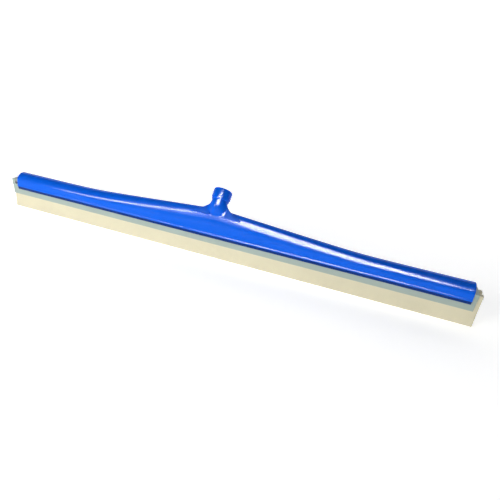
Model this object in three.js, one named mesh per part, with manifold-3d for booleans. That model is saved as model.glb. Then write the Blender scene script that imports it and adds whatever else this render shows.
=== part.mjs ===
import * as THREE from 'three';
import { mergeVertices } from 'three/addons/utils/BufferGeometryUtils.js';
import Module from 'manifold-3d';

// A floor squeegee head: a moulded body with a screw socket, and a cassette of two foam blades that slides
// out of a channel under it. Millimetres. X runs along the blades, -Y is the front and +Z is up. The
// pieces are drawn about the blades' mid-plane, with Z = 0 at the blade tips.

const wasm = await Module();
wasm.setup();

// Lengths along X.
const bodyLength = 726;
const railOverhangLeft = 12;
const railOverhangRight = 6;
const bladeOverhang = 12;

// Foam blades, seen from the end.
const bladeThickness = 6.5;
const bladeExposed = 23.5;
const bladeHeight = 47.5;
const bladeSplay = 1.5;
const dividerThickness = 4.4;
const dividerDrop = 5.5;

// Rail of the cassette.
const jawWall = 1.3;
const jawExposed = 10.2;
const shoulderStep = 1.2;
const railRoof = 1.6;
const foamGap = 0.3;

// Body, seen from the end.
const channelWall = 1.9;
const slideGap = 0.3;
const hookHeight = 5.2;
const lipInset = 1.4;
const undercutHeight = 4.9;
const springDrop = 3.7;
const endCrownRise = 13.5;
const midCrownRise = 31;
const riseHalfLength = 215;
const riseBlend = 30;
const wall = 3;
const coreWidth = 16;
const coreBays = 16;

// Socket for the handle.
const socketLean = 42;
const socketRimY = 17.8;
const socketRimRise = 22;
const collarWall = 3.5;
const collarTaper = 0.6;
const collarLength = 16;
const collarEdge = 1;
const neckWall = 1.7;
const neckFootHalfLength = 30;
const neckFootHalfWidth = 11;
const neckFootDrop = 15;
const boreRadius = 10.4;
const boreDepth = 26;
const webThickness = 3;
const webHalfLength = 38;
const webMidShare = 0.6;
const webEndDepth = 16.5;
const webDepth = 20;
const webDip = 3;
const gripRibs = 4;
const gripRibHeight = 0.6;
const gripRibWidth = 1.2;
const gripRibPitch = 3.2;
const gripRibHalfAngle = 42;

// Stop pin in the left end of the rail.
const pinHeadRadius = 2.6;
const pinHeadHeight = 2.1;
const pinCrownShare = 0.7;
const pinShankRadius = 1.5;
const pinClearance = 0.3;
const pinStandOff = 0.6;

// Smoothness.
const arcSteps = 20;
const coreArcSteps = 10;
const coreSections = 5;
const webCurveSteps = 8;
const ribCurveSteps = 10;
const roundSteps = 40;
const sectionsAlong = 49;
const neckRings = 9;
const cutMargin = 1;

// Places that follow from the sizes.
const divideHalf = dividerThickness / 2;
const bladeInner = divideHalf + foamGap;
const bladeOuter = bladeInner + bladeThickness;
const slotHalf = bladeOuter + foamGap;
const jawOuter = slotHalf + jawWall;
const shoulderOuter = jawOuter + shoulderStep;
const railTop = bladeHeight + foamGap + railRoof;
const lipZ = bladeExposed + jawExposed;
const hookTop = lipZ + hookHeight;
const shoulderZ = hookTop + slideGap;
const hookHalf = jawOuter + slideGap;
const pocketHalf = shoulderOuter + slideGap;
const channelTop = railTop + slideGap;
const bodyHalf = bodyLength / 2;
const halfWidth = pocketHalf + channelWall;
const springZ = channelTop - springDrop;
const socketRimZ = springZ + midCrownRise + socketRimRise;
const collarRadius = boreRadius + collarWall;
const neckRadius = boreRadius + neckWall;
const lean = THREE.MathUtils.degToRad(socketLean);
const bladeHalf = bodyHalf + bladeOverhang;
const railLeft = -bodyHalf - railOverhangLeft;
const railRight = bodyHalf + railOverhangRight;
const pinX = -bodyHalf - pinStandOff - pinHeadRadius;
const pinZ = (shoulderZ + railTop) / 2;

const white = { color: 0xe9ece6, roughness: 0.45, metalness: 0 };
const blue = { color: 0x0c50c8, roughness: 0.2, metalness: 0 };
const cream = { color: 0xe6dfc4, roughness: 0.95, metalness: 0 };
const navy = { color: 0x10243c, roughness: 0.4, metalness: 0 };

// A closed geometry as a solid that can be joined and cut.
function solid(geometry) {
  const bare = geometry.clone();
  bare.deleteAttribute('normal');
  bare.deleteAttribute('uv');
  const merged = mergeVertices(bare, 1e-4);
  const vertProperties = new Float32Array(merged.attributes.position.array);
  const triVerts = new Uint32Array(merged.index.array);
  return new wasm.Manifold(new wasm.Mesh({ numProp: 3, vertProperties, triVerts }));
}

// A solid as a geometry again.
function geometryOf(manifold) {
  const mesh = manifold.getMesh();
  const geometry = new THREE.BufferGeometry();
  geometry.setAttribute('position', new THREE.BufferAttribute(mesh.vertProperties, 3));
  geometry.setIndex(new THREE.BufferAttribute(mesh.triVerts, 1));
  geometry.computeVertexNormals();
  return geometry;
}

// A mesh with its name and finish.
function piece(name, geometry, finish) {
  const mesh = new THREE.Mesh(geometry, new THREE.MeshStandardMaterial(finish));
  mesh.name = name;
  return mesh;
}

// An outline in Y and Z, drawn out along X from one place to another.
function along(points, fromX, toX) {
  const shape = new THREE.Shape(points.map(([y, z]) => new THREE.Vector2(y, z)));
  const geometry = new THREE.ExtrudeGeometry(shape, { depth: toX - fromX, bevelEnabled: false });
  const xAxis = new THREE.Vector3(1, 0, 0);
  const yAxis = new THREE.Vector3(0, 1, 0);
  const zAxis = new THREE.Vector3(0, 0, 1);
  geometry.applyMatrix4(new THREE.Matrix4().makeBasis(yAxis, zAxis, xAxis));
  geometry.translate(fromX, 0, 0);
  return geometry;
}

// The other half of an outline that is the same on both sides of Y = 0.
function mirrored(half) {
  const other = half.map(([y, z]) => [-y, z]).reverse();
  return [...half, ...other];
}

// Rings of points joined into one closed skin. Seen from the last ring, each ring runs counter-clockwise.
function loft(rings) {
  const count = rings[0].length;
  const positions = rings.flat().flatMap((point) => [point.x, point.y, point.z]);
  const index = [];
  for (let ring = 0; ring + 1 < rings.length; ring += 1) {
    for (let at = 0; at < count; at += 1) {
      const a = ring * count + at;
      const b = ring * count + ((at + 1) % count);
      index.push(a, b, b + count, a, b + count, a + count);
    }
  }
  const last = (rings.length - 1) * count;
  for (let at = 1; at + 1 < count; at += 1) {
    index.push(0, at + 1, at);
    index.push(last, last + at, last + at + 1);
  }
  const geometry = new THREE.BufferGeometry();
  geometry.setAttribute('position', new THREE.Float32BufferAttribute(positions, 3));
  geometry.setIndex(index);
  return geometry;
}

// How far the crown stands above the springing line: level near the ends, rising straight to the middle.
function crownRise(x) {
  const reach = riseHalfLength - Math.abs(x);
  const eased = (reach + Math.hypot(reach, riseBlend)) / 2;
  const top = (riseHalfLength + Math.hypot(riseHalfLength, riseBlend)) / 2;
  return endCrownRise + (midCrownRise - endCrownRise) * (eased / top);
}

// The body's outer section at one place along X, from the front lip over the crown to the rear lip.
function hoodSection(x) {
  const rise = crownRise(x);
  const points = [];
  points.push([halfWidth - lipInset, lipZ]);
  points.push([halfWidth, lipZ + undercutHeight]);
  for (let step = 0; step <= arcSteps; step += 1) {
    const angle = (Math.PI * step) / arcSteps;
    points.push([halfWidth * Math.cos(angle), springZ + rise * Math.sin(angle)]);
  }
  points.push([-halfWidth, lipZ + undercutHeight]);
  points.push([-halfWidth + lipInset, lipZ]);
  return points.map(([y, z]) => new THREE.Vector3(x, y, z));
}

function hood() {
  const rings = [];
  for (let at = 0; at < sectionsAlong; at += 1) {
    const x = -bodyHalf + (bodyLength * at) / (sectionsAlong - 1);
    rings.push(hoodSection(x));
  }
  return solid(loft(rings));
}

// One moulding core above the channel: the hollow between two cross ribs.
function coreBay(fromX, toX) {
  const rings = [];
  for (let at = 0; at < coreSections; at += 1) {
    const x = fromX + ((toX - fromX) * at) / (coreSections - 1);
    const rise = springZ + crownRise(x) - wall - channelTop;
    const ring = [new THREE.Vector3(x, coreWidth / 2, channelTop - cutMargin)];
    for (let step = 0; step <= coreArcSteps; step += 1) {
      const angle = (Math.PI * step) / coreArcSteps;
      ring.push(new THREE.Vector3(x, (coreWidth / 2) * Math.cos(angle), channelTop + rise * Math.sin(angle)));
    }
    ring.push(new THREE.Vector3(x, -coreWidth / 2, channelTop - cutMargin));
    rings.push(ring);
  }
  return solid(loft(rings));
}

// The channel under the body: a pocket for the rail's shoulders over two inward hooks.
function channel() {
  const half = [
    [hookHalf, lipZ - cutMargin],
    [hookHalf, hookTop],
    [pocketHalf, hookTop],
    [pocketHalf, channelTop],
  ];
  return solid(along(mirrored(half), -bodyHalf - cutMargin, bodyHalf + cutMargin));
}

// A point on the socket's axis, some way down from the rim.
function onAxis(down) {
  return new THREE.Vector3(0, socketRimY - down * Math.sin(lean), socketRimZ - down * Math.cos(lean));
}

// Turns a solid of revolution about Y so that it stands on the socket's axis with its top at the rim.
function atSocket(geometry) {
  geometry.rotateX(Math.PI / 2 - lean);
  geometry.translate(0, socketRimY, socketRimZ);
  return solid(geometry);
}

function turned(profile) {
  const points = profile.map(([radius, height]) => new THREE.Vector2(radius, height));
  return new THREE.LatheGeometry(points, roundSteps);
}

// The collar that holds the thread, with a rounded lower edge over a slimmer neck.
function collar() {
  const low = collarRadius - collarTaper;
  return atSocket(turned([
    [0, -collarLength - collarEdge],
    [neckRadius, -collarLength - collarEdge],
    [neckRadius, -collarLength],
    [low - collarEdge, -collarLength],
    [low, -collarLength + collarEdge],
    [collarRadius, -collarEdge / 2],
    [collarRadius - collarEdge / 2, 0],
    [0, 0],
  ]));
}

function bore() {
  return atSocket(turned([
    [0, -boreDepth],
    [boreRadius, -boreDepth],
    [boreRadius, cutMargin],
    [0, cutMargin],
  ]));
}

// The neck flows from the round collar into a long oval foot inside the hood.
function neck() {
  const top = onAxis(collarLength);
  const foot = new THREE.Vector3(0, 0, springZ + midCrownRise - neckFootDrop);
  const bend = onAxis(collarLength + neckRadius);
  const rings = [];
  for (let at = 0; at < neckRings; at += 1) {
    const share = at / (neckRings - 1);
    const ease = share * share;
    const path = new THREE.QuadraticBezierCurve3(foot, bend, top).getPoint(1 - share);
    const tilt = lean * (1 - share);
    const rx = neckRadius + (neckFootHalfLength - neckRadius) * ease;
    const ry = neckRadius + (neckFootHalfWidth - neckRadius) * ease;
    const ring = [];
    for (let step = 0; step < roundSteps; step += 1) {
      const angle = (2 * Math.PI * step) / roundSteps;
      const across = ry * Math.sin(angle);
      ring.push(new THREE.Vector3(
        rx * Math.cos(angle),
        path.y + across * Math.cos(tilt),
        path.z - across * Math.sin(tilt),
      ));
    }
    rings.push(ring.reverse());
  }
  return solid(loft(rings));
}

// A thin web each side of the neck, in the plane of the socket's axis.
function webs() {
  const high = onAxis(collarLength + collarEdge);
  const shape = new THREE.Shape();
  shape.moveTo(-neckRadius, 0);
  shape.quadraticCurveTo(-neckRadius - webDip, -webEndDepth * webMidShare, -webHalfLength, -webEndDepth);
  shape.lineTo(-webHalfLength, -webDepth);
  shape.lineTo(webHalfLength, -webDepth);
  shape.lineTo(webHalfLength, -webEndDepth);
  shape.quadraticCurveTo(neckRadius + webDip, -webEndDepth * webMidShare, neckRadius, 0);
  const plate = { depth: webThickness, bevelEnabled: false, curveSegments: webCurveSteps };
  const geometry = new THREE.ExtrudeGeometry(shape, plate);
  geometry.translate(0, 0, -webThickness / 2);
  geometry.rotateX(Math.PI / 2 - lean);
  geometry.translate(0, high.y, high.z);
  return solid(geometry);
}

// One grip rib: a strip round part of the collar, on one side of it.
function gripRib(middleAngle, down) {
  const reach = THREE.MathUtils.degToRad(gripRibHalfAngle);
  const shape = new THREE.Shape();
  shape.absarc(0, 0, collarRadius + gripRibHeight, middleAngle - reach, middleAngle + reach, false);
  shape.absarc(0, 0, collarRadius - collarEdge, middleAngle + reach, middleAngle - reach, true);
  const strip = { depth: gripRibWidth, bevelEnabled: false, curveSegments: ribCurveSteps };
  const geometry = new THREE.ExtrudeGeometry(shape, strip);
  geometry.rotateX(-Math.PI / 2);
  geometry.translate(0, -down - gripRibWidth, 0);
  return atSocket(geometry);
}

// Body, neck, webs and collar are one moulding; the channel, the cores and the bore are cut out of it.
function bodyGeometry() {
  let body = hood().add(neck()).add(collar()).add(webs());
  for (let at = 0; at < gripRibs; at += 1) {
    const down = gripRibPitch / 2 + at * gripRibPitch;
    body = body.add(gripRib(0, down)).add(gripRib(Math.PI, down));
  }
  body = body.subtract(channel());
  const pitch = bodyLength / coreBays;
  for (let bay = 0; bay < coreBays; bay += 1) {
    const from = -bodyHalf + bay * pitch + wall / 2;
    const to = from + pitch - wall;
    const first = bay === 0 ? from + wall / 2 : from;
    const last = bay === coreBays - 1 ? to - wall / 2 : to;
    body = body.subtract(coreBay(first, last));
  }
  return geometryOf(body.subtract(bore()));
}

// A U-shaped rail with shoulders, and a hole in its front wall for the stop pin.
function railGeometry() {
  const half = [
    [slotHalf, bladeExposed],
    [jawOuter, bladeExposed],
    [jawOuter, shoulderZ],
    [shoulderOuter, shoulderZ],
    [shoulderOuter, railTop],
  ];
  const slotRoof = bladeHeight + foamGap;
  const outline = [...mirrored(half), [-slotHalf, slotRoof], [slotHalf, slotRoof]];
  const rail = solid(along(outline, railLeft, railRight));
  const radius = pinShankRadius + pinClearance;
  const hole = turned([
    [0, -shoulderOuter - cutMargin],
    [radius, -shoulderOuter - cutMargin],
    [radius, -slotHalf + cutMargin],
    [0, -slotHalf + cutMargin],
  ]);
  hole.translate(pinX, 0, pinZ);
  return geometryOf(rail.subtract(solid(hole)));
}

// One foam blade: upright in the rail, leaning outwards below it. The side is -1 in front and 1 behind.
function bladeGeometry(side) {
  const outline = [
    [side * bladeInner, bladeHeight],
    [side * bladeInner, bladeExposed],
    [side * (bladeInner + bladeSplay), 0],
    [side * (bladeOuter + bladeSplay), 0],
    [side * bladeOuter, bladeExposed],
    [side * bladeOuter, bladeHeight],
  ];
  return along(outline, -bladeHalf, bladeHalf);
}

// The bar that wedges the two blades against the rail.
function dividerGeometry() {
  const half = [[divideHalf, bladeExposed - dividerDrop], [divideHalf, bladeHeight]];
  return along(mirrored(half), railLeft, railRight);
}

// A domed pin through the rail's front wall. Its head stops against the body's left end.
function stopPinGeometry() {
  const seat = -shoulderOuter - pinClearance;
  const geometry = turned([
    [0, seat - pinHeadHeight],
    [pinHeadRadius * pinCrownShare, seat - pinHeadHeight],
    [pinHeadRadius, seat - pinHeadHeight / 2],
    [pinHeadRadius, seat],
    [pinShankRadius, seat],
    [pinShankRadius, -slotHalf],
    [0, -slotHalf],
  ]);
  geometry.translate(pinX, 0, pinZ);
  return geometry;
}

const cassette = new THREE.Group();
cassette.add(piece('cassette_rail', railGeometry(), white));
cassette.add(piece('front_foam_blade', bladeGeometry(-1), cream));
cassette.add(piece('rear_foam_blade', bladeGeometry(1), cream));
cassette.add(piece('blade_divider', dividerGeometry(), white));
cassette.add(piece('stop_pin', stopPinGeometry(), navy));

// The head stands with the middle of its whole depth, socket included, over the origin.
const frontY = -halfWidth;
const rearY = onAxis(collarEdge / 2).y + collarRadius * Math.cos(lean);
const squeegee = new THREE.Group();
squeegee.position.y = -(frontY + rearY) / 2;
squeegee.add(piece('squeegee_body', bodyGeometry(), blue));
squeegee.add(cassette);

export default squeegee;
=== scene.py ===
import math

import bmesh
import bpy
from bpy.props import FloatProperty, FloatVectorProperty, IntProperty, PointerProperty
from mathutils import Euler, Matrix, Vector, noise


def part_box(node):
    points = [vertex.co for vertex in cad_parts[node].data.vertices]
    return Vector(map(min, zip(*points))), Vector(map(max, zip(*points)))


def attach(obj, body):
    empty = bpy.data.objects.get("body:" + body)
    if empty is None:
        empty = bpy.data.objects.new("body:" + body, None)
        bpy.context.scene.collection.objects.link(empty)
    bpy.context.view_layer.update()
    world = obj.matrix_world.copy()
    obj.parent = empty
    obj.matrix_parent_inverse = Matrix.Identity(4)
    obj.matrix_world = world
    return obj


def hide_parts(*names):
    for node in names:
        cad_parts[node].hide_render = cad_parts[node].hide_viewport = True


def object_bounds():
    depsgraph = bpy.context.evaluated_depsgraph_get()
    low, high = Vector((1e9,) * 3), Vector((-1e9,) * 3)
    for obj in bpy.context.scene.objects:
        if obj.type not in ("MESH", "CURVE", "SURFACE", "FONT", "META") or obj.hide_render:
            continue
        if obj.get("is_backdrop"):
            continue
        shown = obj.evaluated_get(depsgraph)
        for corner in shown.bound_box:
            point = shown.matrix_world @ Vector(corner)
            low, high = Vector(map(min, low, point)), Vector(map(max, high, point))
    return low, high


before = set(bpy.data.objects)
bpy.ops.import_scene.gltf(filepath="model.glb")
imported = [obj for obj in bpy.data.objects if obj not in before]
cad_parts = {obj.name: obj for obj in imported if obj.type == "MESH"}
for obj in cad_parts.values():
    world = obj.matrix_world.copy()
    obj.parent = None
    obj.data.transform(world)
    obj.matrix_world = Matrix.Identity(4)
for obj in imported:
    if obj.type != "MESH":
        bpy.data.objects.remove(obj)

bl_info = {
    "name": "Floor Squeegee Head",
    "version": (1, 0, 0),
    "blender": (4, 5, 0),
    "location": "3D View > Sidebar > Squeegee",
    "description": "Builds the looks of a floor squeegee head around its packed CAD part",
    "category": "Add Mesh",
}

# Where the CAD pieces are, in metres.
BODY_LOW, BODY_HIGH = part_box("squeegee_body")
RAIL_LOW, RAIL_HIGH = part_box("cassette_rail")
FRONT_LOW, FRONT_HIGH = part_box("front_foam_blade")
REAR_LOW, REAR_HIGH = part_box("rear_foam_blade")
DIVIDER_LOW, DIVIDER_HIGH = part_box("blade_divider")
PIN_LOW, PIN_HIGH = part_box("stop_pin")

MIDDLE_Y = (RAIL_LOW.y + RAIL_HIGH.y) / 2
BODY_HALF = (BODY_HIGH.x - BODY_LOW.x) / 2
BODY_HALF_WIDTH = MIDDLE_Y - BODY_LOW.y
LIP_Z = BODY_LOW.z
SHOULDER_OUTER = (RAIL_HIGH.y - RAIL_LOW.y) / 2
RAIL_TOP = RAIL_HIGH.z
JAW_Z = RAIL_LOW.z

# Sections of the moulding and the rail.
LIP_INSET = 0.0014
UNDERCUT_HEIGHT = 0.0049
SPRING_Z = LIP_Z + 0.0123
RISE_HALF_LENGTH = 0.215
RISE_BLEND = 0.030
SLIDE_GAP = 0.0003
HOOK_TOP = LIP_Z + 0.0052
SHOULDER_STEP = 0.0012
JAW_WALL = 0.0013
RAIL_ROOF = 0.0016
CORE_HALF_WIDTH = 0.008
CORE_BAYS = 16
WALL = 0.003
JAW_OUTER = SHOULDER_OUTER - SHOULDER_STEP
SLOT_HALF = JAW_OUTER - JAW_WALL
CHANNEL_TOP = RAIL_TOP + SLIDE_GAP

# Socket for the handle. Its rim is the highest part of the moulding. The foot's half length is one at which
# the neck is known to join the crown.
SOCKET_LEAN = math.radians(42)
COLLAR_RADIUS = 0.0139
COLLAR_TAPER = 0.0006
COLLAR_LENGTH = 0.016
NECK_RADIUS = 0.0118
BORE_RADIUS = 0.0104
BORE_DEPTH = 0.026
RIM_CENTRE = Vector((0, MIDDLE_Y + 0.0178, BODY_HIGH.z - 0.009))
FOOT_HALF_LENGTH = 0.0233
FOOT_FRONT_SPREAD = math.radians(46)
FOOT_REAR_SPREAD = math.radians(62)
FOOT_SINK = 0.0003
WEB_HALF_THICKNESS = 0.0015
WEB_CURVE = ((0.0095, -0.017), (0.0143, -0.0285), (0.0390, -0.0385))
WEB_ROOT = -0.041

ROUND_STEPS = 72
CUT_MARGIN = 0.001
SMOOTH_ANGLE = math.radians(32)

# A joined or cut solid keeps at least this share of the volume due. Each nudge, in metres, is from the last.
KEPT_SHARE = 0.97
NUDGES = (0, 0.00001, 0.00002, -0.00005, 0.00007)

# The camera stands at the front right and looks down. It is rolled a little, and aims beside the middle.
VIEW_AZIMUTH = math.radians(16.25)
VIEW_ELEVATION = math.radians(27.1)
VIEW_ROLL = math.radians(6.93)
VIEW_DEPTH = 0.6375
VIEW_AIM_RIGHT = 0.0480
VIEW_AIM_DOWN = 0.0432
VIEW_LENS = 30.24
VIEW_SENSOR = 36.0


class SqueegeeBodySettings(bpy.types.PropertyGroup):
    middle_rise: FloatProperty(
        name="Middle Rise", description="Height of the crown over its springing line at the socket",
        default=0.031, min=0.02, max=0.031, unit="LENGTH")
    end_rise: FloatProperty(
        name="End Rise", description="Height of the crown over its springing line at the ends",
        default=0.0135, min=0.008, max=0.0135, unit="LENGTH")
    bead_radius: FloatProperty(
        name="Bead Radius", description="Radius of the rounded bead along the lower edge",
        default=0.0018, min=0.0004, max=0.002, unit="LENGTH")
    bead_height: FloatProperty(
        name="Bead Height", description="How far the bead stands out from the wall above it",
        default=0.0007, min=0.0001, max=0.0008, unit="LENGTH")
    edge_radius: FloatProperty(
        name="Edge Radius", description="Rounding of the moulding's end edges",
        default=0.0004, min=0.0001, max=0.0005, unit="LENGTH")
    rib_count: IntProperty(
        name="Grip Ribs", description="Ribs on each side of the collar", default=4, min=1, max=4)
    rib_pitch: FloatProperty(
        name="Rib Pitch", description="Distance from one grip rib to the next",
        default=0.0032, min=0.002, max=0.0035, unit="LENGTH")
    rib_height: FloatProperty(
        name="Rib Height", description="How far a grip rib stands out",
        default=0.0006, min=0.0002, max=0.0006, unit="LENGTH")
    thread_pitch: FloatProperty(
        name="Thread Pitch", description="Rise of the handle thread in one turn",
        default=0.005, min=0.003, max=0.008, unit="LENGTH")
    thread_depth: FloatProperty(
        name="Thread Depth", description="How far the thread stands into the bore",
        default=0.001, min=0.0004, max=0.0015, unit="LENGTH")
    colour: FloatVectorProperty(
        name="Colour", description="Colour of the glossy moulded plastic", subtype="COLOR",
        size=3, default=(0.001, 0.130, 0.84), min=0, max=1)
    roughness: FloatProperty(
        name="Roughness", description="Roughness of the moulded plastic",
        default=0.16, min=0, max=1, subtype="FACTOR")


class SqueegeeCassetteSettings(bpy.types.PropertyGroup):
    corner_radius: FloatProperty(
        name="Corner Radius", description="Rounding of the extruded plastic's corners",
        default=0.00035, min=0.0001, max=0.0006, unit="LENGTH")
    # Painted shade: the default rail colour is a darkened grey green that stands in for the shade under the
    # moulding's lip. The plastic itself is white.
    colour: FloatVectorProperty(
        name="Rail Colour", description="Colour of the rail and the divider", subtype="COLOR",
        size=3, default=(0.36, 0.44, 0.39), min=0, max=1)
    pin_colour: FloatVectorProperty(
        name="Pin Colour", description="Colour of the stop pin", subtype="COLOR",
        size=3, default=(0.006, 0.018, 0.045), min=0, max=1)


class SqueegeeFoamSettings(bpy.types.PropertyGroup):
    corner_radius: FloatProperty(
        name="Corner Radius", description="Rounding of the foam's long edges",
        default=0.0009, min=0.0002, max=0.002, unit="LENGTH")
    waviness: FloatProperty(
        name="Waviness", description="How far the cut faces wander from flat",
        default=0.00025, min=0, max=0.001, unit="LENGTH")
    cell_size: FloatProperty(
        name="Cell Size", description="Typical width of a foam cell",
        default=0.0008, min=0.0003, max=0.003, unit="LENGTH")
    colour: FloatVectorProperty(
        name="Colour", description="Colour of the foam", subtype="COLOR",
        size=3, default=(0.72, 0.665, 0.465), min=0, max=1)


class SqueegeeStageSettings(bpy.types.PropertyGroup):
    floor_colour: FloatVectorProperty(
        name="Floor Colour", description="Colour of the floor and the sweep behind", subtype="COLOR",
        size=3, default=(0.93, 0.93, 0.93), min=0, max=1)
    floor_glow: FloatProperty(
        name="Floor Glow", description="Light that the translucent floor gives off itself",
        default=0.62, min=0, max=2)
    wall_glow: FloatProperty(
        name="Wall Glow", description="Light that the sweep gives off far behind",
        default=1.0, min=0, max=2)
    sky: FloatProperty(
        name="Sky", description="Strength of the even light from all around", default=0.10, min=0, max=2)
    key_power: FloatProperty(
        name="Key Power", description="Power of the wide soft light at the left", default=5.4, min=0,
        unit="POWER")
    card_power: FloatProperty(
        name="Card Power", description="Power of the long card that the gloss mirrors over the front",
        default=165.0, min=0, unit="POWER")
    strip_power: FloatProperty(
        name="Strip Power", description="Power of the thin card that the gloss mirrors at the left",
        default=22.0, min=0, unit="POWER")


def crown_rise(x, settings):
    """How far the crown stands over its springing line: level at the ends, rising to the middle."""
    reach = RISE_HALF_LENGTH - abs(x)
    eased = (reach + math.hypot(reach, RISE_BLEND)) / 2
    top = (RISE_HALF_LENGTH + math.hypot(RISE_HALF_LENGTH, RISE_BLEND)) / 2
    return settings.end_rise + (settings.middle_rise - settings.end_rise) * eased / top


def arc(centre, radius, start, end, steps):
    """Points round part of a circle, from one angle to another in degrees."""
    points = []
    for step in range(steps + 1):
        angle = math.radians(start + (end - start) * step / steps)
        points.append((centre[0] + radius * math.cos(angle), centre[1] + radius * math.sin(angle)))
    return points


def mirrored(half):
    """A whole outline from its +Y half."""
    return half + [(-y, z) for y, z in reversed(half)]


def rounded(points, radius, steps=4):
    """An outline with each of its corners rounded."""
    out = []
    for at, point in enumerate(points):
        corner = Vector(point)
        back = Vector(points[at - 1]) - corner
        ahead = Vector(points[(at + 1) % len(points)]) - corner
        half = back.angle(ahead) / 2
        reach = min(radius / math.tan(half), 0.45 * min(back.length, ahead.length))
        turn = reach * math.tan(half)
        centre = corner + (back.normalized() + ahead.normalized()).normalized() * turn / math.sin(half)
        first = corner + back.normalized() * reach - centre
        last = corner + ahead.normalized() * reach - centre
        for step in range(steps + 1):
            out.append(tuple(centre + first.lerp(last, step / steps).normalized() * first.length))
    return out


def inset(points, distance):
    """An outline drawn counter-clockwise, moved inwards."""
    out = []
    for at, point in enumerate(points):
        back = (Vector(point) - Vector(points[at - 1])).normalized()
        ahead = (Vector(points[(at + 1) % len(points)]) - Vector(point)).normalized()
        along = (back + ahead).normalized()
        out.append((point[0] - along.y * distance, point[1] + along.x * distance))
    return out


def counter_clockwise(points):
    """The outline with its inside on the left."""
    area = 0
    for at, (y, z) in enumerate(points):
        area += points[at - 1][0] * z - y * points[at - 1][1]
    return points if area > 0 else points[::-1]


def new_object(name, mesh):
    """A mesh in the scene."""
    thing = bpy.data.objects.new(name, mesh)
    bpy.context.scene.collection.objects.link(thing)
    return thing


def loft(name, rings):
    """Rings of points joined into one closed skin with its faces outwards."""
    count = len(rings[0])
    faces = []
    for ring in range(len(rings) - 1):
        for at in range(count):
            a = ring * count + at
            b = ring * count + (at + 1) % count
            faces.append((a, b, b + count, a + count))
    last = (len(rings) - 1) * count
    faces.append(tuple(range(count))[::-1])
    faces.append(tuple(range(last, last + count)))
    mesh = bpy.data.meshes.new(name)
    mesh.from_pydata([point for ring in rings for point in ring], [], faces)
    turn_outwards(mesh)
    return new_object(name, mesh)


def turn_outwards(mesh):
    """Turns every face outwards."""
    shape = bmesh.new()
    shape.from_mesh(mesh)
    bmesh.ops.recalc_face_normals(shape, faces=shape.faces)
    shape.to_mesh(mesh)
    shape.free()


def bar(name, outline_at, from_x, to_x, pitch, edge):
    """An outline drawn out along X, with its two end edges rounded."""
    rings = []
    steps = 4
    inner = max(1, round((to_x - from_x - 2 * edge) / pitch))
    places = [(from_x + edge * (1 - math.cos(turn)), edge * (1 - math.sin(turn)))
              for turn in (math.pi / 2 * step / steps for step in range(steps))]
    for step in range(inner + 1):
        places.append((from_x + edge + (to_x - from_x - 2 * edge) * step / inner, 0))
    for x, depth in [(to_x - (x - from_x), depth) for x, depth in places[:steps]][::-1]:
        places.append((x, depth))
    for x, depth in places:
        outline = inset(counter_clockwise(outline_at(x)), depth)
        rings.append([Vector((x, MIDDLE_Y + y, z)) for y, z in outline])
    return loft(name, rings)


def lathe(name, profile, steps=ROUND_STEPS):
    """A solid turned about Z from (radius, height) pairs."""
    rings = []
    for radius, height in profile:
        ring = []
        for step in range(steps):
            angle = 2 * math.pi * (step + 0.5) / steps
            ring.append(Vector((radius * math.cos(angle), radius * math.sin(angle), height)))
        rings.append(ring)
    return loft(name, rings)


def apply_modifiers(thing):
    """Gives a thing the mesh that its modifiers make, and takes them away."""
    depsgraph = bpy.context.evaluated_depsgraph_get()
    mesh = bpy.data.meshes.new_from_object(thing.evaluated_get(depsgraph))
    old = thing.data
    thing.modifiers.clear()
    thing.data = mesh
    bpy.data.meshes.remove(old)


def volume(thing):
    """The volume inside a thing's skin, less than nothing where the skin is inside out."""
    shape = bmesh.new()
    shape.from_mesh(thing.data)
    size = shape.calc_volume(signed=True)
    shape.free()
    return size


def combine(base, other, operation):
    """Joins or cuts one solid with another, which is used up.

    The solver can lose part of the result. The volume shows that, and the other solid is then moved a hair
    and tried again. If every try loses part, an error is raised.
    """
    whole, part = volume(base), volume(other)
    if operation == "UNION":
        least, most = KEPT_SHARE * max(whole, part), whole + part
    else:
        least, most = KEPT_SHARE * (whole - part), whole
    start = base.data.copy()
    for nudge in NUDGES:
        other.data.transform(Matrix.Translation((nudge, 0, 0)))
        modifier = base.modifiers.new("Combine", "BOOLEAN")
        modifier.operation = operation
        modifier.solver = "EXACT"
        modifier.object = other
        apply_modifiers(base)
        if least < volume(base) < most:
            remove(other)
            bpy.data.meshes.remove(start)
            return
        base.data = start.copy()
    raise RuntimeError(f"{operation.lower()} of {base.name} and {other.name} lost part of them")


def remove(thing):
    """Takes a thing and its mesh out of the file."""
    mesh = thing.data
    bpy.data.objects.remove(thing)
    bpy.data.meshes.remove(mesh)


def merge(name, things):
    """Several things as one mesh, without joining their surfaces."""
    shape = bmesh.new()
    for thing in things:
        shape.from_mesh(thing.data)
        remove(thing)
    mesh = bpy.data.meshes.new(name)
    shape.to_mesh(mesh)
    shape.free()
    return new_object(name, mesh)


def finish_piece(thing, material, body, node):
    """Shades a finished piece and gives it its place in the frame."""
    thing.data.materials.clear()
    thing.data.materials.append(material)
    thing.data.polygons.foreach_set("material_index", [0] * len(thing.data.polygons))
    thing.data.shade_smooth()
    thing.data.set_sharp_from_angle(angle=SMOOTH_ANGLE)
    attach(thing, body)
    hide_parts(node)


def on_axis(down):
    """A point on the socket's axis, some way down from the rim."""
    return RIM_CENTRE - socket_axis() * down


def socket_axis():
    """The way the socket points."""
    return Vector((0, math.sin(SOCKET_LEAN), math.cos(SOCKET_LEAN)))


def socket_place():
    """Turns a solid drawn about Z to the socket's axis, with its Z = 0 at the rim."""
    return Matrix.Translation(RIM_CENTRE) @ Matrix.Rotation(-SOCKET_LEAN, 4, "X")


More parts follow.
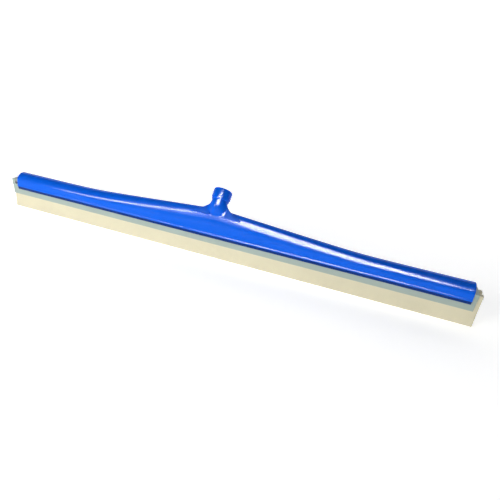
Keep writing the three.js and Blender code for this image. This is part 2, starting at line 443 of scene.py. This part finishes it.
def hood_outline(x, settings):
    """The moulding's section at one place: the crown, the beads, the lips and the channel."""
    half = BODY_HALF_WIDTH
    bead = settings.bead_radius
    flank = half - settings.bead_height
    rise = crown_rise(x, settings)
    bead_z = LIP_Z + UNDERCUT_HEIGHT + bead / 2
    meets = math.degrees(math.acos(1 - settings.bead_height / bead))
    hook = JAW_OUTER + SLIDE_GAP
    pocket = SHOULDER_OUTER + SLIDE_GAP
    outer = [(half - LIP_INSET, LIP_Z)]
    outer += arc((half - bead, bead_z), bead, -55, meets, 8)
    steps = 20
    for step in range(steps + 1):
        angle = math.pi / 2 * step / steps
        outer.append((flank * math.cos(angle), SPRING_Z + rise * math.sin(angle)))
    inner = [(pocket, CHANNEL_TOP), (pocket, HOOK_TOP), (hook, HOOK_TOP), (hook, LIP_Z)]
    whole = outer + [(-y, z) for y, z in outer[-2::-1]]
    return whole + [(-y, z) for y, z in reversed(inner)] + inner


def core(x0, x1, settings):
    """One moulding core over the channel, between two cross ribs."""
    rings = []
    lengths = 6
    steps = 12
    for at in range(lengths + 1):
        x = x0 + (x1 - x0) * at / lengths
        rise = SPRING_Z + crown_rise(x, settings) - WALL - CHANNEL_TOP
        ring = [Vector((x, MIDDLE_Y + CORE_HALF_WIDTH, CHANNEL_TOP - CUT_MARGIN))]
        for step in range(steps + 1):
            angle = math.pi * step / steps
            across = CORE_HALF_WIDTH * math.cos(angle)
            ring.append(Vector((x, MIDDLE_Y + across, CHANNEL_TOP + rise * math.sin(angle))))
        ring.append(Vector((x, MIDDLE_Y - CORE_HALF_WIDTH, CHANNEL_TOP - CUT_MARGIN)))
        rings.append(ring)
    return loft("core", rings)


def foot_point(angle, share, sink, settings):
    """A point where the neck runs out on the crown, round the foot and some share of the way out."""
    spread = FOOT_REAR_SPREAD if math.sin(angle) > 0 else FOOT_FRONT_SPREAD
    x = FOOT_HALF_LENGTH * math.cos(angle) * share
    tilt = spread * math.sin(angle) * share
    flank = BODY_HALF_WIDTH - settings.bead_height - sink
    rise = crown_rise(x, settings) - sink
    return Vector((x, MIDDLE_Y + flank * math.sin(tilt), SPRING_Z + rise * math.cos(tilt)))


def neck(settings):
    """The neck, flowing from the round collar out over the crown."""
    rings = []
    steps = 26
    centre = on_axis(COLLAR_LENGTH)
    across = Vector((0, math.cos(SOCKET_LEAN), -math.sin(SOCKET_LEAN)))
    nudge = 0.02
    for at in range(steps + 1):
        share = at / steps
        ring = []
        for step in range(ROUND_STEPS):
            angle = 2 * math.pi * (step + 0.5) / ROUND_STEPS
            side = Vector((math.cos(angle), 0, 0)) + across * math.sin(angle)
            start = centre + side * NECK_RADIUS
            end = foot_point(angle, 1, FOOT_SINK, settings)
            outwards = (foot_point(angle, 1 + nudge, FOOT_SINK, settings) - end) / nudge
            reach = (end - start).length
            forward = max(0, -math.sin(angle))
            leave = -socket_axis() * reach * (0.8 + 1.1 * forward * forward)
            arrive = outwards.normalized() * reach * 0.8
            ring.append(hermite(start, leave, end, arrive, share))
        rings.append(ring)
    core_point = Vector((0, MIDDLE_Y, SPRING_Z + settings.middle_rise * 0.3))
    foot = rings[-1]
    for share in (0.3, 0.6, 0.85, 0.97):
        rings.append([point.lerp(core_point, share) for point in foot])
    rings.insert(0, [point + socket_axis() * CUT_MARGIN for point in rings[0]])
    return loft("neck", rings)


def hermite(start, leave, end, arrive, t):
    """A point on the curve between two places, with the ways it leaves and arrives."""
    square, cube = t * t, t * t * t
    near = start * (2 * cube - 3 * square + 1) + leave * (cube - 2 * square + t)
    return near + end * (3 * square - 2 * cube) + arrive * (cube - square)


def collar():
    """The collar round the thread, standing out over the neck with a rounded lower edge."""
    low = COLLAR_RADIUS - COLLAR_TAPER
    profile = [(NECK_RADIUS - CUT_MARGIN, -COLLAR_LENGTH + 0.0002)]
    profile += arc((low - 0.0008, -COLLAR_LENGTH + 0.001), 0.0008, -90, 0, 6)
    profile += arc((COLLAR_RADIUS - 0.0003, -0.0003), 0.0003, 0, 90, 4)
    thing = lathe("collar", profile)
    thing.data.transform(socket_place())
    return thing


def bore():
    """The cutter for the threaded hole, with a chamfered mouth."""
    chamfer = 0.001
    profile = [(BORE_RADIUS * 0.7, -BORE_DEPTH), (BORE_RADIUS, 0.003 - BORE_DEPTH * 0.9)]
    profile.append((BORE_RADIUS, -chamfer))
    profile += [(BORE_RADIUS + chamfer, 0), (BORE_RADIUS + 2 * chamfer, chamfer)]
    thing = lathe("bore", profile)
    thing.data.transform(socket_place())
    return thing


def web(side):
    """A thin web on one side of the neck, in the plane of the socket's axis, with a rounded top."""
    rings = []
    steps = 20
    first, bend, last = (Vector(point) for point in WEB_CURVE)
    for at in range(steps + 1):
        t = at / steps
        point = first.lerp(bend, t).lerp(bend.lerp(last, t), t)
        ring = [(WEB_HALF_THICKNESS, WEB_ROOT)]
        ring += arc((0, point.y - WEB_HALF_THICKNESS), WEB_HALF_THICKNESS, 0, 180, 10)
        ring.append((-WEB_HALF_THICKNESS, WEB_ROOT))
        rings.append([Vector((side * point.x, y, z)) for y, z in ring])
    thing = loft("web", rings)
    thing.data.transform(socket_place())
    return thing


def grip_rib(settings):
    """One grip rib on the +X side of the collar, just under the rim, sinking into it at both ends."""
    rings = []
    steps = 18
    reach = math.radians(42)
    half_width = 0.0006
    for at in range(steps + 1):
        share = at / steps
        angle = -reach + 2 * reach * share
        fade = math.sin(math.pi * share) ** 0.4
        ring = [(COLLAR_RADIUS - 0.0015, -half_width)]
        for step in range(9):
            turn = math.pi * (step / 8 - 0.5)
            proud = (COLLAR_TAPER + settings.rib_height) * math.cos(turn) * fade
            ring.append((COLLAR_RADIUS - COLLAR_TAPER + proud, half_width * math.sin(turn)))
        ring.append((COLLAR_RADIUS - 0.0015, half_width))
        rings.append([Vector((r * math.cos(angle), r * math.sin(angle), h)) for r, h in ring])
    return loft("grip_rib", rings)


def rib_rows_tree(material):
    """Geometry nodes that repeat a rib down both sides of a collar."""
    tree = bpy.data.node_groups.new("Grip Rib Rows", "GeometryNodeTree")
    face = tree.interface
    face.new_socket("Rib", in_out="INPUT", socket_type="NodeSocketGeometry")
    face.new_socket("Count", in_out="INPUT", socket_type="NodeSocketInt").default_value = 4
    face.new_socket("Pitch", in_out="INPUT", socket_type="NodeSocketFloat").default_value = 0.0032
    face.new_socket("Ribs", in_out="OUTPUT", socket_type="NodeSocketGeometry")
    given = tree.nodes.new("NodeGroupInput")
    down = node(tree, "ShaderNodeMath", {0: given.outputs["Pitch"], 1: -1.0}, operation="MULTIPLY")
    step = node(tree, "ShaderNodeCombineXYZ", {"Z": down.outputs[0]})
    start = node(tree, "ShaderNodeVectorMath", {0: step.outputs[0], 1: (0.5, 0.5, 0.5)}, operation="MULTIPLY")
    line = node(tree, "GeometryNodeMeshLine", {
        "Count": given.outputs["Count"], "Start Location": start.outputs[0], "Offset": step.outputs[0]})
    row = node(tree, "GeometryNodeInstanceOnPoints", {
        "Points": line.outputs["Mesh"], "Instance": given.outputs["Rib"]})
    other = node(tree, "GeometryNodeTransform", {
        "Geometry": row.outputs["Instances"], "Rotation": Euler((0, 0, math.pi))})
    both = node(tree, "GeometryNodeJoinGeometry", {"Geometry": row.outputs["Instances"]})
    tree.links.new(other.outputs["Geometry"], both.inputs["Geometry"])
    real = node(tree, "GeometryNodeRealizeInstances", {"Geometry": both.outputs["Geometry"]})
    finish = node(tree, "GeometryNodeSetMaterial", {
        "Geometry": real.outputs["Geometry"], "Material": material})
    node(tree, "NodeGroupOutput", {"Ribs": finish.outputs["Geometry"]})
    return tree


def run_tree(thing, tree, values):
    """Runs a geometry node tree on a thing with the named inputs, leaving a plain mesh."""
    modifier = thing.modifiers.new(tree.name, "NODES")
    modifier.node_group = tree
    for item in tree.interface.items_tree:
        if item.in_out == "INPUT" and item.name in values:
            modifier[item.identifier] = values[item.name]
    apply_modifiers(thing)


def thread(settings):
    """The helical ridge inside the bore."""
    rings = []
    turns = (BORE_DEPTH - 0.006) / settings.thread_pitch
    steps = round(turns * 36)
    wall = BORE_RADIUS + 0.0003
    for at in range(steps + 1):
        share = at / steps
        angle = 2 * math.pi * turns * share
        height = -0.003 - settings.thread_pitch * turns * share
        depth = (settings.thread_depth + 0.0003) * min(1, 12 * min(share, 1 - share) + 0.05)
        section = [(wall, -0.0013), (wall, 0.0013), (wall - depth, 0.0005), (wall - depth, -0.0005)]
        rings.append([Vector((r * math.cos(angle), r * math.sin(angle), height + h)) for r, h in section])
    thing = loft("thread", rings)
    thing.data.transform(socket_place())
    return thing


def node(tree, kind, inputs=None, **settings):
    """A node with its settings, and each of its inputs linked or given a value."""
    made = tree.nodes.new(kind)
    for key, value in settings.items():
        setattr(made, key, value)
    for key, value in (inputs or {}).items():
        if isinstance(value, bpy.types.NodeSocket):
            tree.links.new(value, made.inputs[key])
        else:
            made.inputs[key].default_value = value
    return made


def surface(name):
    """A new material's node tree with its shader, and object coordinates in metres."""
    material = bpy.data.materials.new(name)
    material.use_nodes = True
    tree = material.node_tree
    tree.nodes.clear()
    shader = tree.nodes.new("ShaderNodeBsdfPrincipled")
    node(tree, "ShaderNodeOutputMaterial", {"Surface": shader.outputs["BSDF"]})
    place = tree.nodes.new("ShaderNodeTexCoord").outputs["Object"]
    return material, tree, shader, place


def grain(tree, place, scale, detail=3.0, stretch=(1, 1, 1)):
    """Noise from 0 to 1, drawn out along the axes with a small stretch."""
    drawn = node(tree, "ShaderNodeMapping", {"Vector": place, "Scale": stretch})
    return node(tree, "ShaderNodeTexNoise", {
        "Vector": drawn.outputs["Vector"], "Scale": scale, "Detail": detail}).outputs["Fac"]


def between(tree, value, low, high, low_in=0.0, high_in=1.0):
    """A value moved from one range to another, and kept inside it."""
    return node(tree, "ShaderNodeMapRange", {
        "Value": value, "From Min": low_in, "From Max": high_in,
        "To Min": low, "To Max": high}).outputs["Result"]


def mixed(tree, share, one, other):
    """A colour between two."""
    mix = node(tree, "ShaderNodeMix", data_type="RGBA")
    for socket, value in zip((mix.inputs[0], mix.inputs[6], mix.inputs[7]), (share, one, other)):
        if isinstance(value, bpy.types.NodeSocket):
            tree.links.new(value, socket)
        else:
            socket.default_value = value
    return mix.outputs[2]


def shade(colour, factor):
    """A colour made lighter or darker, with its alpha."""
    return tuple(min(1, part * factor) for part in colour) + (1,)


def bump(tree, height, distance, strength, under=None):
    """A bumped normal, over another one where it is given."""
    inputs = {"Height": height, "Distance": distance, "Strength": strength}
    if under is not None:
        inputs["Normal"] = under
    return node(tree, "ShaderNodeBump", inputs).outputs["Normal"]


def moulded_plastic(settings):
    """Glossy injection moulded plastic: even colour, faint ripple, hairline scratches, paler worn edges, and
    painted shade on the undercut below the bead.
    """
    material, tree, shader, place = surface("Glossy Blue Plastic")
    cloud = grain(tree, place, 9.0, 2.0)
    colour = mixed(tree, cloud, shade(settings.colour, 0.93), shade(settings.colour, 1.07))
    ridge = tree.nodes.new("ShaderNodeNewGeometry").outputs["Pointiness"]
    worn = between(tree, ridge, 0.0, 0.22, 0.53, 0.62)
    colour = mixed(tree, worn, colour, (0.16, 0.36, 0.90, 1))
    # Painted shade: below the bead the colour is darkened to 0.22 of the blue, standing in for the shade that
    # falls on the undercut.
    height = node(tree, "ShaderNodeSeparateXYZ", {0: place}).outputs["Z"]
    under = between(tree, height, 1.0, 0.0, LIP_Z + UNDERCUT_HEIGHT - 0.0008, LIP_Z + UNDERCUT_HEIGHT)
    colour = mixed(tree, under, colour, shade(settings.colour, 0.22))
    tree.links.new(colour, shader.inputs["Base Color"])
    scratch = grain(tree, place, 900.0, 2.0, (0.03, 1, 1))
    smear = grain(tree, place, 40.0, 4.0)
    marks = between(tree, scratch, 0.0, 0.10, 0.62, 0.74)
    haze = between(tree, smear, settings.roughness - 0.03, settings.roughness + 0.05, 0.3, 0.7)
    rough = node(tree, "ShaderNodeMath", {0: haze, 1: marks}, operation="ADD").outputs[0]
    tree.links.new(rough, shader.inputs["Roughness"])
    ripple = bump(tree, grain(tree, place, 55.0, 1.0), 0.0004, 0.10)
    normal = bump(tree, scratch, 0.00003, 0.12, ripple)
    tree.links.new(normal, shader.inputs["Normal"])
    shader.inputs["Specular IOR Level"].default_value = 0.12
    return material


def extruded_plastic(colour, name):
    """Satin extruded plastic with faint lines along its length and a fine grain."""
    material, tree, shader, place = surface(name)
    lines = grain(tree, place, 700.0, 3.0, (0.01, 1, 1))
    cloud = grain(tree, place, 30.0, 4.0)
    tint = mixed(tree, cloud, shade(colour, 0.95), shade(colour, 1.03))
    tree.links.new(tint, shader.inputs["Base Color"])
    tree.links.new(between(tree, lines, 0.34, 0.50), shader.inputs["Roughness"])
    fine = bump(tree, grain(tree, place, 2600.0, 2.0), 0.00004, 0.25)
    tree.links.new(bump(tree, lines, 0.00006, 0.35, fine), shader.inputs["Normal"])
    shader.inputs["IOR"].default_value = 1.46
    return material


def foam_rubber(settings):
    """Open-celled foam rubber: rounded cells with thin pale walls and painted shade in their hollows, and
    burst cells on the cut ends with darker painted shade.
    """
    material, tree, shader, place = surface("Cream Foam Rubber")
    bent = node(tree, "ShaderNodeVectorMath", {
        0: node(tree, "ShaderNodeTexNoise", {
            "Vector": place, "Scale": 500.0, "Detail": 2.0}).outputs["Color"],
        "Scale": settings.cell_size * 0.6}, operation="SCALE").outputs[0]
    loose = node(tree, "ShaderNodeVectorMath", {0: place, 1: bent}, operation="ADD").outputs[0]
    cells = node(tree, "ShaderNodeTexVoronoi", {
        "Vector": loose, "Scale": 1 / settings.cell_size}).outputs["Distance"]
    large = node(tree, "ShaderNodeTexVoronoi", {
        "Vector": loose, "Scale": 0.32 / settings.cell_size}).outputs["Distance"]
    facing = node(tree, "ShaderNodeSeparateXYZ", {
        0: tree.nodes.new("ShaderNodeNewGeometry").outputs["True Normal"]}).outputs["X"]
    ends = between(tree, node(tree, "ShaderNodeMath", {0: facing}, operation="ABSOLUTE").outputs[0],
                   0.0, 1.0, 0.6, 0.9)
    # Painted shade: this mask tints each cell's hollow darker, standing in for the shade inside the pit. The
    # same mask sinks the pit in the bump below.
    pit_depth_and_shade = between(tree, cells, 1.0, 0.0, 0.05, 0.42)
    burst = between(tree, large, 1.0, 0.0, 0.10, 0.26)
    burst_depth_and_shade = node(tree, "ShaderNodeMath", {0: burst, 1: ends}, operation="MULTIPLY").outputs[0]
    cloud = grain(tree, place, 26.0, 5.0)
    tint = mixed(tree, cloud, shade(settings.colour, 0.94), shade(settings.colour, 1.06))
    tint = mixed(tree, between(tree, pit_depth_and_shade, 0.0, 0.16), tint, (0.50, 0.43, 0.26, 1))
    # Painted shade: the burst cells on the cut ends are darkened almost to black, standing in for the shade
    # inside the open cells. Their mask also sinks them in the bump.
    tint = mixed(tree, between(tree, burst_depth_and_shade, 0.0, 0.75), tint, (0.20, 0.19, 0.13, 1))
    tree.links.new(tint, shader.inputs["Base Color"])
    shader.inputs["Roughness"].default_value = 0.95
    shader.inputs["Specular IOR Level"].default_value = 0.2
    shader.inputs["Sheen Weight"].default_value = 0.15
    soft = bump(tree, grain(tree, place, 180.0, 3.0), 0.0004, 0.35)
    pitted = bump(tree, node(tree, "ShaderNodeMath", {0: pit_depth_and_shade, 1: -1.0}, operation="MULTIPLY").outputs[0],
                  settings.cell_size * 0.5, 0.5, soft)
    opened = bump(tree, node(tree, "ShaderNodeMath", {0: burst_depth_and_shade, 1: -1.0}, operation="MULTIPLY").outputs[0],
                  settings.cell_size, 0.8, pitted)
    tree.links.new(opened, shader.inputs["Normal"])
    return material


def seamless_paper(settings):
    """Pale translucent sweep, lit a little from behind, with a faint tooth."""
    material, tree, shader, place = surface("Pale Sweep")
    cloud = grain(tree, place, 3.0, 3.0)
    tint = mixed(tree, cloud, shade(settings.floor_colour, 0.995), shade(settings.floor_colour, 1.005))
    tree.links.new(tint, shader.inputs["Base Color"])
    shader.inputs["Roughness"].default_value = 0.8
    shader.inputs["Specular IOR Level"].default_value = 0.1
    tree.links.new(tint, shader.inputs["Emission Color"])
    back = node(tree, "ShaderNodeSeparateXYZ", {0: place}).outputs["Y"]
    glow = between(tree, back, settings.floor_glow, settings.wall_glow, 0.1, 1.5)
    tree.links.new(glow, shader.inputs["Emission Strength"])
    tree.links.new(bump(tree, grain(tree, place, 400.0, 2.0), 0.0002, 0.1), shader.inputs["Normal"])
    return material


class SQUEEGEE_OT_body(bpy.types.Operator):
    """Build the moulded body with its socket, webs, ribs and thread"""
    bl_idname = "squeegee.body"
    bl_label = "Moulded Body"

    def execute(self, context):
        settings = context.scene.squeegee_body
        material = moulded_plastic(settings)
        socket = neck(settings)
        combine(socket, collar(), "UNION")
        for side in (-1, 1):
            combine(socket, web(side), "UNION")
        ribs = grip_rib(settings)
        run_tree(ribs, rib_rows_tree(material), {"Count": settings.rib_count, "Pitch": settings.rib_pitch})
        ribs.data.transform(socket_place())
        combine(socket, ribs, "UNION")
        body = bar("moulded_body", lambda x: hood_outline(x, settings), -BODY_HALF, BODY_HALF,
                   0.003, settings.edge_radius)
        combine(body, socket, "UNION")
        combine(body, self.cores(settings), "DIFFERENCE")
        combine(body, bore(), "DIFFERENCE")
        whole = merge("moulded_body", [body, thread(settings)])
        finish_piece(whole, material, "body", "squeegee_body")
        return {"FINISHED"}

    def cores(self, settings):
        """Every moulding core over the channel."""
        pitch = 2 * BODY_HALF / CORE_BAYS
        bays = []
        for bay in range(CORE_BAYS):
            x0 = -BODY_HALF + bay * pitch + (WALL if bay == 0 else WALL / 2)
            x1 = -BODY_HALF + (bay + 1) * pitch - (WALL if bay == CORE_BAYS - 1 else WALL / 2)
            bays.append(core(x0, x1, settings))
        return merge("cores", bays)


class SQUEEGEE_OT_rail(bpy.types.Operator):
    """Build the U-shaped rail and the divider bar of the cassette"""
    bl_idname = "squeegee.rail"
    bl_label = "Cassette Rail and Divider"

    def execute(self, context):
        settings = context.scene.squeegee_cassette
        # Painted shade: this white plastic takes the darkened rail colour, which stands in for the shade
        # under the lip.
        material = extruded_plastic(settings.colour, "White Plastic")
        edge = settings.corner_radius
        shoulder = HOOK_TOP + SLIDE_GAP
        half = [(SLOT_HALF, RAIL_TOP - RAIL_ROOF), (SLOT_HALF, JAW_Z), (JAW_OUTER, JAW_Z),
                (JAW_OUTER, shoulder), (SHOULDER_OUTER, shoulder), (SHOULDER_OUTER, RAIL_TOP)]
        outline = rounded(mirrored(half), edge)
        rail = bar("rail", lambda x: outline, RAIL_LOW.x, RAIL_HIGH.x, 0.03, edge)
        hole = lathe("hole", [(0.0018, 0), (0.0018, 0.004)], 32)
        hole.data.transform(pin_place())
        combine(rail, hole, "DIFFERENCE")
        finish_piece(rail, material, "cassette", "cassette_rail")
        width = (DIVIDER_HIGH.y - DIVIDER_LOW.y) / 2
        section = rounded(mirrored([(width, DIVIDER_LOW.z), (width, DIVIDER_HIGH.z)]), 2 * edge)
        divider = bar("divider", lambda x: section, DIVIDER_LOW.x, DIVIDER_HIGH.x, 0.03, edge)
        finish_piece(divider, material, "cassette", "blade_divider")
        return {"FINISHED"}


class SQUEEGEE_OT_foam_blades(bpy.types.Operator):
    """Build the two foam blades"""
    bl_idname = "squeegee.foam_blades"
    bl_label = "Foam Blades"

    def execute(self, context):
        settings = context.scene.squeegee_foam
        material = foam_rubber(settings)
        for name, node_name, low, high, side in (
                ("front_foam", "front_foam_blade", FRONT_LOW, FRONT_HIGH, -1),
                ("rear_foam", "rear_foam_blade", REAR_LOW, REAR_HIGH, 1)):
            thing = self.blade(name, low, high, side, settings)
            finish_piece(thing, material, "cassette", node_name)
        return {"FINISHED"}

    def blade(self, name, low, high, side, settings):
        """One blade: upright in the rail, leaning outwards below it, with soft edges and faces."""
        inner = min(abs(low.y - MIDDLE_Y), abs(high.y - MIDDLE_Y))
        outer = max(abs(low.y - MIDDLE_Y), abs(high.y - MIDDLE_Y))
        splay = outer - (SLOT_HALF - SLIDE_GAP)
        corners = [(inner, high.z), (inner, JAW_Z), (inner + splay, low.z),
                   (outer, low.z), (outer - splay, JAW_Z), (outer - splay, high.z)]
        outline = finer(rounded([(side * y, z) for y, z in corners], settings.corner_radius), 0.0016)
        thing = bar(name, lambda x: outline, low.x, high.x, 0.0025, settings.corner_radius)
        self.soften(thing.data, settings, low, high)
        return thing

    def soften(self, mesh, settings, low, high):
        """Moves the points below the rail a little, along their normals and never outside the blade's box."""
        moved = []
        for vertex in mesh.vertices:
            loose = min(1, max(0, (JAW_Z - vertex.co.z) / 0.004))
            amount = noise.fractal(vertex.co * 120, 1.0, 2.0, 3) - 0.5
            moved.append(vertex.co + vertex.normal * amount * settings.waviness * loose)
        for vertex, place in zip(mesh.vertices, moved):
            vertex.co = [min(top, max(bottom, part)) for bottom, part, top in zip(low, place, high)]


def finer(points, pitch):
    """An outline with points added along its long sides."""
    out = []
    for at, point in enumerate(points):
        start = Vector(points[at - 1])
        parts = max(1, math.ceil((Vector(point) - start).length / pitch))
        for part in range(1, parts + 1):
            out.append(tuple(start.lerp(Vector(point), part / parts)))
    return out


def pin_place():
    """Turns a solid drawn about Z to the pin's axis, with Z = 0 under the head and +Z into the rail."""
    middle = (PIN_LOW + PIN_HIGH) / 2
    face = Vector((middle.x, RAIL_LOW.y - SLIDE_GAP, middle.z))
    return Matrix.Translation(face) @ Matrix.Rotation(-math.pi / 2, 4, "X")


class SQUEEGEE_OT_stop_pin(bpy.types.Operator):
    """Build the domed stop pin"""
    bl_idname = "squeegee.stop_pin"
    bl_label = "Stop Pin"

    def execute(self, context):
        settings = context.scene.squeegee_cassette
        radius = (PIN_HIGH.z - PIN_LOW.z) / 2
        seat = RAIL_LOW.y - SLIDE_GAP
        head = seat - PIN_LOW.y
        profile = [(0.0003, -head)]
        for step in range(1, 9):
            angle = math.pi / 2 * step / 8
            profile.append((radius * math.sin(angle), -head * (0.35 + 0.65 * math.cos(angle))))
        profile += [(radius, -0.0002), (radius - 0.0002, 0), (0.0015, 0), (0.0015, PIN_HIGH.y - seat)]
        pin = lathe("stop_pin", profile, 48)
        pin.data.transform(pin_place())
        finish_piece(pin, extruded_plastic(settings.pin_colour, "Navy Plastic"),
                     "cassette", "stop_pin")
        return {"FINISHED"}


class SQUEEGEE_OT_stage(bpy.types.Operator):
    """Set up the camera, the soft lights and the pale sweep"""
    bl_idname = "squeegee.stage"
    bl_label = "Camera, Lights and Floor"

    def execute(self, context):
        settings = context.scene.squeegee_stage
        self.camera(context)
        self.sweep(settings)
        self.sky(context, settings)
        aim = Vector((0, MIDDLE_Y, SPRING_Z))
        area_light("Key Light", Vector((-0.42, -0.85, 0.45)), aim, (0.50, 0.50), 0, settings.key_power)
        card = area_light(
            "Front Card", Vector((0.06, -0.80, 0.78)), aim, (0.90, 0.70), 20, settings.card_power)
        strip = area_light(
            "Left Card", Vector((-0.56, -0.80, 0.50)), aim, (0.75, 0.14), 45, settings.strip_power)
        for light in (card, strip):
            light.visible_diffuse = False
        context.scene.view_settings.view_transform = "Standard"
        return {"FINISHED"}

    def camera(self, context):
        """The camera at the front right, looking down."""
        data = bpy.data.cameras.new("Camera")
        data.lens = VIEW_LENS
        data.sensor_width = VIEW_SENSOR
        camera = bpy.data.objects.new("Camera", data)
        turn = Matrix.Rotation(VIEW_AZIMUTH, 4, "Z") @ Matrix.Rotation(math.pi / 2 - VIEW_ELEVATION, 4, "X")
        turn = turn @ Matrix.Rotation(VIEW_ROLL, 4, "Z")
        low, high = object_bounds()
        middle = (Vector(low) + Vector(high)) / 2
        offset = Vector((VIEW_AIM_RIGHT, -VIEW_AIM_DOWN, VIEW_DEPTH))
        camera.matrix_world = Matrix.Translation(middle + turn.to_3x3() @ offset) @ turn
        context.scene.collection.objects.link(camera)
        context.scene.camera = camera

    def sweep(self, settings):
        """A pale floor that curves up into a wall far behind."""
        half_width, front, back, radius, height = 8.0, -6.0, 3.0, 1.5, 6.0
        line = [(front, 0.0)]
        for step in range(13):
            angle = math.pi / 2 * step / 12
            line.append((back + radius * math.sin(angle), radius * (1 - math.cos(angle))))
        line.append((back + radius, height))
        points = [Vector((x, y, z)) for y, z in line for x in (-half_width, half_width)]
        faces = [(2 * at, 2 * at + 1, 2 * at + 3, 2 * at + 2) for at in range(len(line) - 1)]
        mesh = bpy.data.meshes.new("sweep")
        mesh.from_pydata(points, [], faces)
        mesh.materials.append(seamless_paper(settings))
        mesh.shade_smooth()
        new_object("sweep", mesh)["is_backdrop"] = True

    def sky(self, context, settings):
        """Even pale light from all around."""
        world = bpy.data.worlds.new("Studio")
        world.use_nodes = True
        background = world.node_tree.nodes["Background"]
        background.inputs["Color"].default_value = (0.96, 0.98, 1.0, 1)
        background.inputs["Strength"].default_value = settings.sky
        context.scene.world = world


def area_light(name, place, aim, size, roll, power):
    """A soft rectangular light, with its +X end raised by the roll in degrees."""
    data = bpy.data.lights.new(name, "AREA")
    data.shape = "RECTANGLE"
    data.size, data.size_y = size
    data.energy = power
    light = bpy.data.objects.new(name, data)
    turn = (aim - place).to_track_quat("-Z", "Y").to_matrix().to_4x4()
    light.matrix_world = Matrix.Translation(place) @ turn @ Matrix.Rotation(math.radians(roll), 4, "Z")
    bpy.context.scene.collection.objects.link(light)
    return light


class SQUEEGEE_PT_panel(bpy.types.Panel):
    """Builds the pieces and the stage"""
    bl_label = "Floor Squeegee Head"
    bl_idname = "SQUEEGEE_PT_panel"
    bl_space_type = "VIEW_3D"
    bl_region_type = "UI"
    bl_category = "Squeegee"

    def draw(self, context):
        for name, group in GROUPS.items():
            box = self.layout.box()
            for key in group.__annotations__:
                box.prop(getattr(context.scene, name), key)
        for operator in OPERATORS:
            self.layout.operator(operator.bl_idname)


GROUPS = {
    "squeegee_stage": SqueegeeStageSettings,
    "squeegee_body": SqueegeeBodySettings,
    "squeegee_cassette": SqueegeeCassetteSettings,
    "squeegee_foam": SqueegeeFoamSettings,
}
OPERATORS = (
    SQUEEGEE_OT_stage,
    SQUEEGEE_OT_body,
    SQUEEGEE_OT_rail,
    SQUEEGEE_OT_foam_blades,
    SQUEEGEE_OT_stop_pin,
)


def register():
    for name, group in GROUPS.items():
        bpy.utils.register_class(group)
        setattr(bpy.types.Scene, name, PointerProperty(type=group))
    for operator in OPERATORS:
        bpy.utils.register_class(operator)
    bpy.utils.register_class(SQUEEGEE_PT_panel)


def unregister():
    bpy.utils.unregister_class(SQUEEGEE_PT_panel)
    for operator in reversed(OPERATORS):
        bpy.utils.unregister_class(operator)
    for name, group in GROUPS.items():
        delattr(bpy.types.Scene, name)
        bpy.utils.unregister_class(group)


def corners():
    """The model's lowest and highest corners as plain lists."""
    return [list(corner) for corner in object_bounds()]


def main():
    register()
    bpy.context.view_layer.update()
    bpy.ops.squeegee.stage()
    bpy.ops.squeegee.body()
    bpy.ops.squeegee.rail()
    bpy.ops.squeegee.foam_blades()
    bpy.ops.squeegee.stop_pin()


if __name__ == "__main__":
    main()
